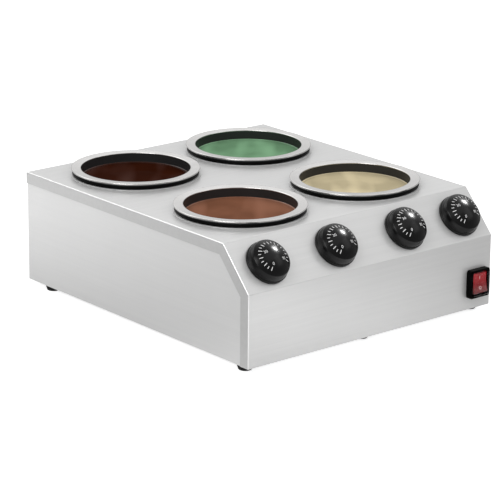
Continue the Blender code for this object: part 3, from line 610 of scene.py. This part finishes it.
def red_material(name):
    """The rocker's translucent red plastic, with its lamp behind; its red is painted dark at its foot and
    bright at its top, a painted light and shade.
    """
    material, tree, shader = node_material(name)
    cloud = noise(tree, 160.0, (1.0, 1.0, 1.0), detail=2.0)
    place = tree.nodes.new("ShaderNodeTexCoord")
    parts = tree.nodes.new("ShaderNodeSeparateXYZ")
    tree.links.new(place.outputs["Object"], parts.inputs["Vector"])
    middle = joint_place("press_rocker").z
    # Painted light and shade: the red is dark at the rocker's foot and bright at its top.
    painted_top_light = ranged(tree, parts.outputs["Z"], middle - ROCKER_HEIGHT / 2, middle + ROCKER_HEIGHT / 2, 0.0, 1.0)
    painted_light = blended(tree, painted_top_light, (0.035, 0.003, 0.004), (0.34, 0.012, 0.018))
    tree.links.new(multiplied(tree, painted_light, ramp(tree, cloud, 0.8, 1.0)), shader.inputs["Base Color"])
    tree.links.new(ramp(tree, cloud, 0.12, 0.2), shader.inputs["Roughness"])
    shader.inputs["Subsurface Weight"].default_value = 0.2
    shader.inputs["Subsurface Radius"].default_value = (0.004, 0.001, 0.001)
    shader.inputs["Subsurface Scale"].default_value = 1.0
    shader.inputs["Emission Color"].default_value = (0.9, 0.02, 0.03, 1.0)
    shader.inputs["Emission Strength"].default_value = 0.05
    return material


ALONG_X = (7.0, 800.0, 800.0)
ALONG_Y = (800.0, 7.0, 800.0)
# Size of the chocolate's painted reflection streaks
PAINTED_STREAK_SIZE = (0.035, 0.16, 1.0)
COVER_TONE = (0.74, 0.74, 0.737)
# The side panels' steel is lighter than the cover's: painted light for the brighter look of the sides.
SIDE_PAINTED_LIGHT_TONE = (0.82, 0.82, 0.817)
# Painted shade on the cover's flanges, and a painted highlight tone on its folds
FLANGE_PAINTED_SHADE = 0.88
FOLD_PAINTED_HIGHLIGHT_TONE = 0.95
FOLD_ROUGHNESS = 0.22
STEEL_METALLIC = 0.4
steel_cover = brushed_steel("brushed_cover", ALONG_X, COVER_TONE, folds=True)
steel_side = brushed_steel("brushed_side", ALONG_Y, SIDE_PAINTED_LIGHT_TONE, contrast=0.04)
steel_rear = brushed_steel("brushed_rear", ALONG_X, COVER_TONE)
zinc = brushed_steel("zinc_sheet", (60.0, 60.0, 60.0), (0.55, 0.56, 0.57), (0.38, 0.52))
heater_steel = brushed_steel("heater_steel", (120.0, 120.0, 120.0), (0.42, 0.40, 0.37), (0.5, 0.6))
well_steel = brushed_steel("brushed_well", (300.0, 300.0, 8.0), COVER_TONE)
polished = polished_steel("polished_rim")
bright_shaft = polished_steel("bright_shaft")
pot_black = moulded("non_stick_black", (0.014, 0.014, 0.0145), 0.45, specular=0.40, grain=900.0)
seal_black = moulded("seal_rubber", (0.0015, 0.0015, 0.0015), 0.40, specular=0.06)
foot_black = moulded("foot_rubber", (0.009, 0.009, 0.009), 0.55, specular=0.2)
knob_black = moulded(
    "knob_gloss_black", (0.0020, 0.0020, 0.0021), 0.23, specular=0.25, grain=3000.0, depth=0.000002
)
bezel_black = moulded(
    "bezel_black", (0.0010, 0.0010, 0.0010), 0.35, specular=0.03, grain=2500.0, depth=0.00001
)
dark_plastic = moulded("dark_plastic", (0.010, 0.010, 0.010), 0.5, specular=0.3)
pale_plastic = moulded("pale_plastic", (0.58, 0.55, 0.48), 0.5)
mark_white = moulded("mark_white", (0.72, 0.72, 0.72), 0.45, specular=0.2)
rocker_red = red_material("rocker_red")
boot_clear = clear_material("boot_clear", (0.98, 0.95, 0.95))
switch_mark = moulded("switch_mark", (0.62, 0.44, 0.44), 0.4)

NODE_MATERIALS = {
    "top_cover": steel_cover,
    "left_side_panel": steel_side,
    "right_side_panel": steel_side,
    "back_panel": steel_rear,
    "base_plate": zinc,
    "switch_housing": bezel_black,
    "switch_boot": boot_clear,
    "switch_rocker": rocker_red,
    "terminal_block": pale_plastic,
    "cable_gland": dark_plastic,
    "gland_nut": dark_plastic,
}
NODE_STARTS = {
    "well_": well_steel,
    "heater_": heater_steel,
    "seal_ring_": seal_black,
    "pot_rim_": polished,
    "pot_": pot_black,
    "foot_": foot_black,
    "knob_": knob_black,
    "thermostat_shaft_": bright_shaft,
    "thermostat_": dark_plastic,
    "locknut_": bright_shaft,
    "chocolate_": pot_black,
}


def dress_cad_nodes():
    """Gives every carried-over node its procedural material."""
    for name, node in frame["nodes"].items():
        material = NODE_MATERIALS.get(name)
        for start, found in NODE_STARTS.items():
            if material is None and name.startswith(start):
                material = found
        node.data.materials.clear()
        node.data.materials.append(material)


def make_pot(name):
    """One station's fine pieces: rim, pot, seal, the well's collar, and the melted filling."""
    body = f"pot_{name}"
    rim_low, rim_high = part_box(f"pot_rim_{name}")
    pot_low, pot_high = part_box(f"pot_{name}")
    seal_low, seal_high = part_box(f"seal_ring_{name}")
    well_low, well_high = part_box(f"well_{name}")
    filling_low, filling_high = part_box(f"chocolate_{name}")
    centre = (rim_low + rim_high) / 2
    place = Matrix.Translation((centre.x, centre.y, 0))
    outer = (rim_high.x - rim_low.x) / 2
    seal_outer = (seal_high.x - seal_low.x) / 2
    filling = (filling_high.x - filling_low.x) / 2
    inner = filling + GAP
    inner_up = rim_high.z - RIM_DISH - RIM_INNER_ROUND
    profile = arc(inner + RIM_INNER_ROUND, inner_up, RIM_INNER_ROUND, 180, 90, RIM_ROUND_STEPS)
    start, end = profile[-1][0], outer - RIM_ROUND
    for step in range(1, ARC_STEPS):
        share = step / ARC_STEPS
        profile.append((start + (end - start) * share, rim_high.z - RIM_DISH * (1 - share)))
    profile += arc(end, rim_high.z - RIM_ROUND, RIM_ROUND, 90, 0, RIM_ROUND_STEPS)
    profile += [(outer, rim_low.z), (inner, rim_low.z)]
    rim = turned(f"rim_{name}", profile, POT_STEPS, place, closed=True)
    new_piece(f"fine_rim_{name}", rim, polished, body, [f"pot_rim_{name}"])

    corner = POT_CORNER
    floor = pot_low.z + POT_WALL
    flange_bottom = pot_high.z - POT_WALL
    profile = [(0, floor)]
    profile += arc(inner - corner, floor + corner, corner, -90, 0)
    profile += [(inner, pot_high.z), (seal_outer, pot_high.z), (seal_outer, flange_bottom)]
    profile += [(inner + POT_WALL, flange_bottom)]
    profile += arc(inner - corner, floor + corner, corner + POT_WALL, 0, -90)
    profile.append((0, pot_low.z))
    pot = turned(f"pot_{name}", profile, POT_STEPS, place)
    new_piece(f"fine_pot_{name}", pot, pot_black, body, [f"pot_{name}"])

    top = filling_high.z
    lower = top - MENISCUS_RISE
    profile = [(0, lower), (filling - 2 * MENISCUS_WIDTH, lower)]
    for step in range(ARC_STEPS + 1):
        share = step / ARC_STEPS
        profile.append((filling - MENISCUS_WIDTH * (1 - share), lower + MENISCUS_RISE * share**3))
    profile += [(filling, floor + corner)]
    profile += arc(inner - corner, floor + corner, corner - (inner - filling), 0, -90)
    profile.append((0, filling_low.z))
    chocolate = turned(f"chocolate_{name}", profile, POT_STEPS, place)
    surface = (centre.x, centre.y, lower)
    material = chocolate_material(f"melted_{name}", CHOCOLATE_COLOURS[name], surface, filling)
    new_piece(f"fine_chocolate_{name}", chocolate, material, body, [f"chocolate_{name}"])

    ring_inner = inner + POT_WALL + WELL_CLEARANCE
    profile = arc(seal_outer - SEAL_ROUND, seal_high.z - SEAL_ROUND, SEAL_ROUND, 90, 0, ROUND_STEPS)
    profile += arc(seal_outer - SEAL_ROUND, seal_low.z + SEAL_ROUND, SEAL_ROUND, 0, -90, ROUND_STEPS)
    profile += [(ring_inner, seal_low.z), (ring_inner, seal_high.z)]
    seal = turned(f"seal_{name}", profile, POT_STEPS, place, closed=True)
    new_piece(f"fine_seal_{name}", seal, seal_black, "casing", [f"seal_ring_{name}"])

    collar = (well_high.x - well_low.x) / 2
    cup = ring_inner
    collar_top = well_high.z
    collar_bottom = collar_top - WELL_SHEET
    profile = [(0, well_low.z + WELL_SHEET), (cup, well_low.z + WELL_SHEET), (cup, collar_top)]
    profile += arc(collar - COLLAR_ROUND, collar_top - COLLAR_ROUND, COLLAR_ROUND, 90, 0, ROUND_STEPS)
    profile += [(collar, collar_bottom), (cup + WELL_SHEET, collar_bottom)]
    profile += [(cup + WELL_SHEET, well_low.z), (0, well_low.z)]
    well = turned(f"well_{name}", profile, POT_STEPS, place)
    new_piece(f"fine_well_{name}", well, well_steel, "casing", [f"well_{name}"])


def knob_frame(number):
    """The knob's axis from the record: a matrix with Z along the axis and Y up the slope."""
    joint = joint_named(f"turn_knob_{number}")
    along = Vector(joint["axis"]).normalized()
    across = Vector((1, 0, 0))
    up = along.cross(across).normalized()
    turn = Matrix((across, up, along)).transposed().to_4x4()
    return Matrix.Translation(joint["pos_m"]) @ turn


def knob_reach(number, place):
    """The knob's lowest and highest point along its own axis, and its skirt's radius."""
    inverse = place.inverted()
    points = [inverse @ vert.co for vert in frame["nodes"][f"knob_{number}"].data.vertices]
    heights = [point.z for point in points]
    radius = max(math.hypot(point.x, point.y) for point in points)
    return min(heights), max(heights), radius


def face_height(radius, top, face):
    """The height of a knob's domed face at a radius."""
    return top - KNOB_FACE_DOME * (radius / face) ** 2


def on_dome(mesh, top, face):
    """Lays a flat mesh on a knob's dome."""
    for vert in mesh.vertices:
        radius = math.hypot(vert.co.x, vert.co.y)
        vert.co.z += face_height(radius, top, face)


def tick_mesh(name, radius_in, radius_out, angle, width):
    """A thin printed stroke along a radius, with cross rows so that it can follow the dome."""
    work = bmesh.new()
    rows = TICK_ROWS
    direction = Vector((math.sin(math.radians(angle)), math.cos(math.radians(angle)), 0))
    side = Vector((direction.y, -direction.x, 0)) * (width / 2)
    layers = []
    for height in (-MARK_LIFT, MARK_THICKNESS):
        layer = []
        rise = Vector((0, 0, height))
        for row in range(rows):
            point = direction * (radius_in + (radius_out - radius_in) * row / (rows - 1))
            layer.append([work.verts.new(point - side + rise), work.verts.new(point + side + rise)])
        layers.append(layer)
    low, high = layers
    for row in range(rows - 1):
        work.faces.new([high[row][0], high[row][1], high[row + 1][1], high[row + 1][0]])
        work.faces.new([low[row][0], low[row + 1][0], low[row + 1][1], low[row][1]])
        for end in (0, 1):
            work.faces.new([low[row][end], high[row][end], high[row + 1][end], low[row + 1][end]])
    for row in (0, rows - 1):
        work.faces.new([low[row][0], low[row][1], high[row][1], high[row][0]])
    return mesh_from(name, work)


def text_mesh(text, size, thickness):
    """A numeral as a thin closed mesh, centred on the origin."""
    curve = bpy.data.curves.new("numeral", "FONT")
    curve.body = text
    curve.size = size
    curve.extrude = thickness / 2
    curve.align_x = "CENTER"
    curve.align_y = "CENTER"
    curve.resolution_u = NUMERAL_STEPS
    holder = bpy.data.objects.new("numeral", curve)
    bpy.context.scene.collection.objects.link(holder)
    graph = bpy.context.evaluated_depsgraph_get()
    mesh = bpy.data.meshes.new_from_object(holder.evaluated_get(graph))
    bpy.data.objects.remove(holder)
    bpy.data.curves.remove(curve)
    return mesh


def make_knob(number):
    """A knob's fine body, with its printed scale and numerals."""
    place = knob_frame(number)
    bottom, top, skirt = knob_reach(number, place)
    radius = skirt - KNOB_SKIRT
    face = radius - KNOB_TAPER - KNOB_EDGE / 2
    lean = math.atan2(2 * KNOB_FACE_DOME, face)
    edge_across = face - KNOB_EDGE * math.sin(lean)
    edge_up = top - KNOB_FACE_DOME - KNOB_EDGE * math.cos(lean)
    shoulder = bottom + KNOB_SKIRT_HEIGHT
    profile = []
    for step in range(DOME_STEPS):
        across = face * step / DOME_STEPS
        profile.append((across, face_height(across, top, face)))
    profile += arc(edge_across, edge_up, KNOB_EDGE, 90 - math.degrees(lean), 0)
    taper = radius - edge_across - KNOB_EDGE
    for step in range(1, ARC_STEPS + 1):
        share = step / ARC_STEPS
        profile.append((radius - taper * (1 - share) ** 2, edge_up - (edge_up - shoulder) * share))
    profile += arc(skirt - KNOB_SKIRT_ROUND, shoulder - KNOB_SKIRT, KNOB_SKIRT_ROUND, 90, 0, ROUND_STEPS)
    profile += [(skirt, bottom), (KNOB_RECESS_RADIUS, bottom)]
    profile += [(KNOB_RECESS_RADIUS, bottom + KNOB_RECESS_DEPTH), (0, bottom + KNOB_RECESS_DEPTH)]
    mesh = turned(f"knob_{number}", profile, KNOB_STEPS, Matrix())
    mesh.transform(place)
    body = f"knob_{number}"
    new_piece(f"fine_knob_{number}", mesh, knob_black, body, [f"knob_{number}"])

    strokes = []
    for index in range(TICK_COUNT):
        angle = DIAL_START + TICK_STEP * index
        length = TICK_LONG if index % 2 == 0 else TICK_SHORT
        strokes.append(tick_mesh("tick", TICK_OUTER - length, TICK_OUTER, angle, TICK_WIDTH))
    step = TICK_STEP * (TICK_COUNT - 1) / (len(NUMERALS) - 1)
    for index, numeral in enumerate(NUMERALS):
        angle = math.radians(DIAL_START + step * index)
        mesh = text_mesh(numeral, NUMERAL_SIZE, MARK_THICKNESS + MARK_LIFT)
        shift = Vector((math.sin(angle), math.cos(angle), 0)) * NUMERAL_RADIUS
        mesh.transform(Matrix.Translation(shift))
        strokes.append(mesh)
    marks = joined_mesh(f"marks_{number}", strokes)
    on_dome(marks, top, face)
    marks.transform(place)
    new_piece(f"knob_marks_{number}", marks, mark_white, body)


def make_feet():
    """Each foot's fine pad, with soft edges."""
    for name in [node for node in frame["nodes"] if node.startswith("foot_")]:
        low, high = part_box(name)
        centre = (low + high) / 2
        radius = (high.x - low.x) / 2
        bottom = radius - FOOT_TAPER
        place = Matrix.Translation((centre.x, centre.y, low.z))
        profile = [(0, FOOT_TOP)]
        profile += arc(radius - FOOT_ROUND, FOOT_TOP - FOOT_ROUND, FOOT_ROUND, 90, 0, ROUND_STEPS)
        profile += arc(bottom - FOOT_ROUND, FOOT_ROUND, FOOT_ROUND, 0, -90, ROUND_STEPS)
        profile += [(0, 0)]
        mesh = turned(name, profile, SMALL_STEPS, place)
        new_piece(f"fine_{name}", mesh, foot_black, "casing", [name])


def cover_outline(inset, back_y, bottom_z, bend):
    """The casing's side view, drawn in from its deck, slope and front by the inset."""
    slope_length = math.hypot(SLOPE_RUN, SLOPE_DROP)
    slope_top = FRONT_Y + SLOPE_RUN + inset * (slope_length - SLOPE_RUN) / SLOPE_DROP
    slope_bottom = DECK_Z - SLOPE_DROP - inset * (slope_length - SLOPE_DROP) / SLOPE_RUN
    corners = [
        (back_y, DECK_Z - inset, bend),
        (slope_top, DECK_Z - inset, bend),
        (FRONT_Y + inset, slope_bottom, bend),
        (FRONT_Y + inset, bottom_z, 0),
        (back_y, bottom_z, 0),
    ]
    return rounded_outline(corners, BEND_STEPS)


def make_cover():
    """The folded top cover again, with smooth bends and folds and round holes."""
    outer = cover_outline(0, BACK_Y, FLOOR_Z - OVERRUN, BEND_RADIUS)
    cover = prism_mesh("cover", outer, "X", -SIDE_X, SIDE_X, FOLD_RADIUS, FOLD_RADIUS)
    inner_x = SIDE_X - SHEET
    inside = cover_outline(SHEET, BACK_Y - SHEET, FLOOR_Z - 2 * OVERRUN, BEND_RADIUS - SHEET)
    outer_x = SIDE_X + OVERRUN
    below = cover_outline(COVER_FLANGE, BACK_Y + OVERRUN, FLOOR_Z - 2 * OVERRUN, 0)
    trim_low = (-outer_x, FRONT_Y - OVERRUN, FLOOR_Z - 3 * OVERRUN)
    trim_high = (outer_x, BACK_Y + OVERRUN, FLOOR_Z)
    holes = []
    for name in POTS:
        low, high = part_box(f"seal_ring_{name}")
        filling_low, filling_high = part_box(f"chocolate_{name}")
        cup = (filling_high.x - filling_low.x) / 2 + GAP + POT_WALL + WELL_CLEARANCE + WELL_SHEET
        centre = (low + high) / 2
        place = Matrix.Translation((centre.x, centre.y, DECK_Z))
        holes.append(drum_mesh("pot_hole", cup + 2 * GAP, -OVERRUN, OVERRUN, POT_STEPS, place))
    for number in KNOB_NUMBERS:
        place = knob_frame(number)
        holes.append(drum_mesh("knob_hole", BUSHING_RADIUS + GAP, -OVERRUN, OVERRUN, SMALL_STEPS, place))
    pivot = joint_place("press_rocker")
    half_width = ROCKER_WIDTH / 2 + ROCKER_SIDE_CLEARANCE + SWITCH_BODY_WALL + GAP
    half_height = ROCKER_HEIGHT / 2 + ROCKER_END_CLEARANCE + SWITCH_BODY_WALL + GAP
    window = rectangle_outline(pivot.x, pivot.z, half_width, half_height, BODY_CORNER)
    cutters = [
        prism_mesh("inside", inside, "X", -inner_x, inner_x),
        prism_mesh("flanges", below, "X", -outer_x, outer_x),
        box_mesh("trim", trim_low, trim_high),
        joined_mesh("holes", holes),
        prism_mesh("window", window, "Y", FRONT_Y - OVERRUN, FRONT_Y + OVERRUN),
    ]
    new_piece("fine_cover", cut_mesh(cover, cutters), steel_cover, "casing", ["top_cover"])


def rocker_depth(up):
    """How far in front of its pivot the rocker's dished face lies at a height."""
    return -ROCKER_FACE + ROCKER_DISH * (1 - (2 * up / ROCKER_HEIGHT) ** 2)


def make_rocker():
    """The rocker with its smooth dish and soft edges, and the I and O on it."""
    half = ROCKER_HEIGHT / 2
    face_steps = 2 * ARC_STEPS
    outline = []
    for step in range(face_steps + 1):
        up = half - ROCKER_HEIGHT * step / face_steps
        outline.append(Vector((rocker_depth(up), up)))
    outline += [
        Vector((-ROCKER_SHOULDER, -half)),
        Vector((ROCKER_HUB, -half / 2)),
        Vector((ROCKER_HUB, half / 2)),
        Vector((-ROCKER_SHOULDER, half)),
    ]
    side = ROCKER_WIDTH / 2
    tilt = Matrix.Rotation(-math.radians(ROCKER_TILT), 4, "X")
    place = Matrix.Translation(joint_place("press_rocker")) @ tilt
    rocker = prism_mesh("rocker", outline, "X", -side, side, ROCKER_EDGE, ROCKER_EDGE, ROCKER_SEGMENTS)
    rocker = flattened(rocker)
    rocker.transform(place)
    new_piece("fine_rocker", rocker, rocker_red, "rocker", ["switch_rocker"])
    marks = (("rocker_mark_on", "I", ROCKER_MARK_UP), ("rocker_mark_off", "O", -ROCKER_MARK_UP))
    for name, text, up in marks:
        mark = text_mesh(text, ROCKER_MARK_SIZE, MARK_THICKNESS)
        for vert in mark.vertices:
            across, height, out = vert.co
            vert.co = (across, rocker_depth(height + up) - MARK_LIFT - out, height + up)
        mark.transform(place)
        new_piece(name, mark, switch_mark, "rocker")


def make_boot():
    """The clear boot: a thin soft-edged cap over the rocker."""
    low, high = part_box("switch_boot")
    centre = (low + high) / 2
    outer = rectangle_outline(centre.x, centre.z, (high.x - low.x) / 2, (high.z - low.z) / 2, BOOT_CORNER)
    half_width = (high.x - low.x) / 2 - BOOT_WALL
    half_height = (high.z - low.z) / 2 - BOOT_WALL
    inner = rectangle_outline(centre.x, centre.z, half_width, half_height, BOOT_CORNER - BOOT_WALL)
    cap = prism_mesh("boot", outer, "Y", low.y, high.y, BOOT_EDGE)
    space = prism_mesh("space", inner, "Y", low.y + BOOT_WALL, high.y + OVERRUN, BOOT_EDGE - BOOT_WALL)
    new_piece("fine_boot", cut_mesh(cap, [space]), boot_clear, "casing", ["switch_boot"])


def make_floor():
    """A plain pale floor, pure white to the camera but for the object's soft shadow."""
    work = bmesh.new()
    bmesh.ops.create_grid(work, x_segments=1, y_segments=1, size=FLOOR_HALF)
    floor = bpy.data.objects.new("floor", mesh_from("floor", work))
    bpy.context.scene.collection.objects.link(floor)
    material, tree, shader = node_material("floor_white")
    shader.inputs["Base Color"].default_value = (0.80, 0.80, 0.80, 1.0)
    shader.inputs["Roughness"].default_value = 0.9
    shader.inputs["Specular IOR Level"].default_value = 0.0
    rays = tree.nodes.new("ShaderNodeLightPath")
    place = tree.nodes.new("ShaderNodeTexCoord")
    level = FLOOR_LEVEL
    for centre, radius, strength in FLOOR_POOLS:
        spot = pool(tree, place.outputs["Object"], centre, radius)
        level = calculated(tree, "MULTIPLY_ADD", spot, strength, level)
    mirrored = tree.nodes.new("ShaderNodeEmission")
    tree.links.new(level, mirrored.inputs["Strength"])
    shine = tree.nodes.new("ShaderNodeEmission")
    shine.inputs["Strength"].default_value = FLOOR_SHINE
    seen = tree.nodes.new("ShaderNodeAddShader")
    tree.links.new(shader.outputs["BSDF"], seen.inputs[0])
    tree.links.new(shine.outputs["Emission"], seen.inputs[1])
    for_glossy = tree.nodes.new("ShaderNodeMixShader")
    tree.links.new(rays.outputs["Is Glossy Ray"], for_glossy.inputs["Fac"])
    tree.links.new(shader.outputs["BSDF"], for_glossy.inputs[1])
    tree.links.new(mirrored.outputs["Emission"], for_glossy.inputs[2])
    for_camera = tree.nodes.new("ShaderNodeMixShader")
    tree.links.new(rays.outputs["Is Camera Ray"], for_camera.inputs["Fac"])
    tree.links.new(for_glossy.outputs["Shader"], for_camera.inputs[1])
    tree.links.new(seen.outputs["Shader"], for_camera.inputs[2])
    tree.links.new(for_camera.outputs["Shader"], tree.nodes["Material Output"].inputs["Surface"])
    floor.data.materials.append(material)


def make_world():
    """An even white studio; its reflections have a level at each height and three soft bright spots."""
    world = bpy.data.worlds.new("studio")
    bpy.context.scene.world = world
    world.use_nodes = True
    tree = world.node_tree
    rays = tree.nodes.new("ShaderNodeLightPath")
    place = tree.nodes.new("ShaderNodeTexCoord")
    parts = tree.nodes.new("ShaderNodeSeparateXYZ")
    tree.links.new(place.outputs["Generated"], parts.inputs["Vector"])
    level = ranged(tree, parts.outputs["Z"], *WORLD_RISE)
    for centre, radius, strength in WORLD_POOLS:
        spot = pool(tree, place.outputs["Generated"], centre, radius)
        level = calculated(tree, "MULTIPLY_ADD", spot, strength, level)
    mirrored = calculated(tree, "MULTIPLY", rays.outputs["Is Glossy Ray"], level)
    through = calculated(tree, "MAXIMUM", rays.outputs["Is Camera Ray"], rays.outputs["Is Transmission Ray"])
    others = ranged(tree, rays.outputs["Is Diffuse Ray"], 0.0, 1.0, 0.0, WORLD_LEVEL)
    total = calculated(tree, "ADD", mirrored, calculated(tree, "ADD", through, others))
    back = tree.nodes["Background"]
    back.inputs["Color"].default_value = (1.0, 1.0, 1.0, 1.0)
    tree.links.new(total, back.inputs["Strength"])


def area_light(name, place, target, size, power):
    """A soft rectangular lamp that faces a point and isn't seen itself."""
    light = bpy.data.lights.new(name, "AREA")
    light.shape = "RECTANGLE"
    light.size, light.size_y = size
    light.energy = power
    lamp = bpy.data.objects.new(name, light)
    lamp.location = place
    lamp.rotation_euler = (Vector(target) - Vector(place)).to_track_quat("-Z", "Y").to_euler()
    bpy.context.scene.collection.objects.link(lamp)
    lamp.visible_camera = False
    return lamp


def make_lights():
    """The lamps, with the glint linked to the knobs alone."""
    lamps = {name: area_light(name, *values) for name, values in LAMPS.items()}
    knobs = bpy.data.collections.new("knobs")
    for number in KNOB_NUMBERS:
        knobs.objects.link(bpy.data.objects[f"fine_knob_{number}"])
    lamps["glint"].light_linking.receiver_collection = knobs


def make_camera():
    """The camera, at a distance behind its target, with a little roll."""
    azimuth, elevation = math.radians(AZIMUTH), math.radians(ELEVATION)
    back = Vector((
        math.sin(azimuth) * math.cos(elevation),
        -math.cos(azimuth) * math.cos(elevation),
        math.sin(elevation),
    ))
    across = (-back).cross(Vector((0, 0, 1))).normalized()
    up = back.cross(across)
    target = Vector((0, 0, TARGET_HEIGHT)) + across * TARGET_ACROSS + up * TARGET_UP
    roll = math.radians(ROLL)
    rolled_across = across * math.cos(roll) + up * math.sin(roll)
    rolled_up = up * math.cos(roll) - across * math.sin(roll)
    turn = Matrix((rolled_across, rolled_up, back)).transposed().to_4x4()
    data = bpy.data.cameras.new("camera")
    data.sensor_width = SENSOR
    data.lens = FOCAL_PIXELS * SENSOR / PICTURE_PIXELS
    data.clip_end = 100.0
    camera = bpy.data.objects.new("camera", data)
    camera.matrix_world = Matrix.Translation(target + back * DISTANCE) @ turn
    bpy.context.scene.collection.objects.link(camera)
    bpy.context.scene.camera = camera


dress_cad_nodes()
make_cover()
for pot_name in POTS:
    make_pot(pot_name)
for knob_number in KNOB_NUMBERS:
    make_knob(knob_number)
make_rocker()
make_boot()
make_feet()
make_floor()
make_world()
make_lights()
make_camera()
bpy.context.scene.view_settings.view_transform = "Standard"
